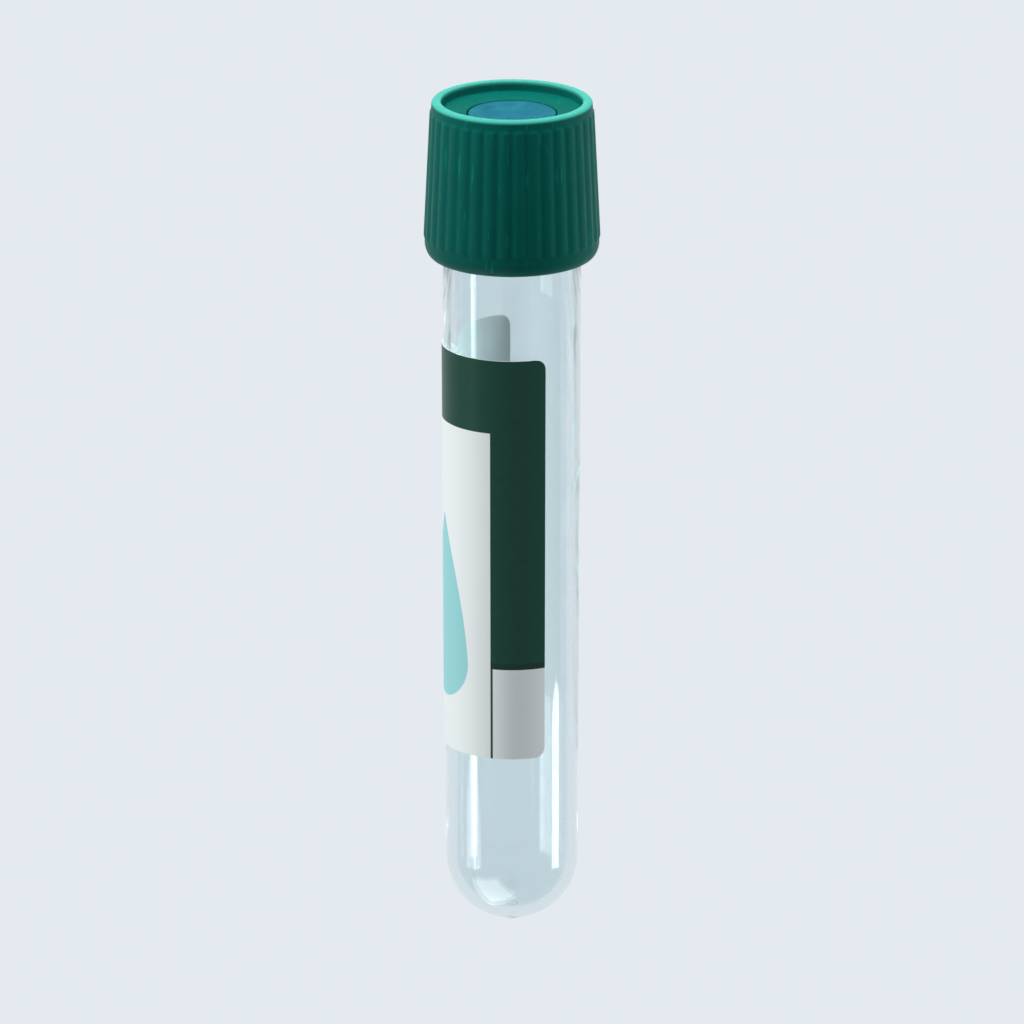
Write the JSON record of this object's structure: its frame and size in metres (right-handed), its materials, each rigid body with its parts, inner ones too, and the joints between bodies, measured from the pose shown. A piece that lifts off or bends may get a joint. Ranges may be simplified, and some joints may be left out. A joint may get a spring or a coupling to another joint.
{
  "type": "blood collection tube",
  "caption": "Clear round-bottomed blood collection tube with a ribbed green cap, a rubber stopper that pulls out, and a wrapped paper label.",
  "frame": {"origin": "centre of the bounding box, at the floor that the cap's rim stands on", "axes": "the tube stands on its head, on the rim of its cap, because the real one rolls when it lies down: +Z runs from the cap to the round end, -Y is the front of the label, +X is across the tube"},
  "size_m": [0.0164, 0.0164, 0.0802],
  "materials": {
    "clear_plastic": "clear moulded polyester, polished inside and out",
    "butyl_rubber": "matte blue-grey rubber",
    "green_plastic": "semi-gloss moulded polyethylene",
    "label_paper": "coated label paper, printed with plain fields of green"
  },
  "bodies": {
    "root": {"cap": "green_plastic", "stopper": "butyl_rubber"},
    "barrel": {"tube": "clear_plastic", "label": "label_paper"}
  },
  "joints": [
    {"name": "barrel_pull", "type": "slide", "parent": "root", "child": "barrel", "axis": [0, 0, 1], "range_m": [0, 0.03]}
  ]
}
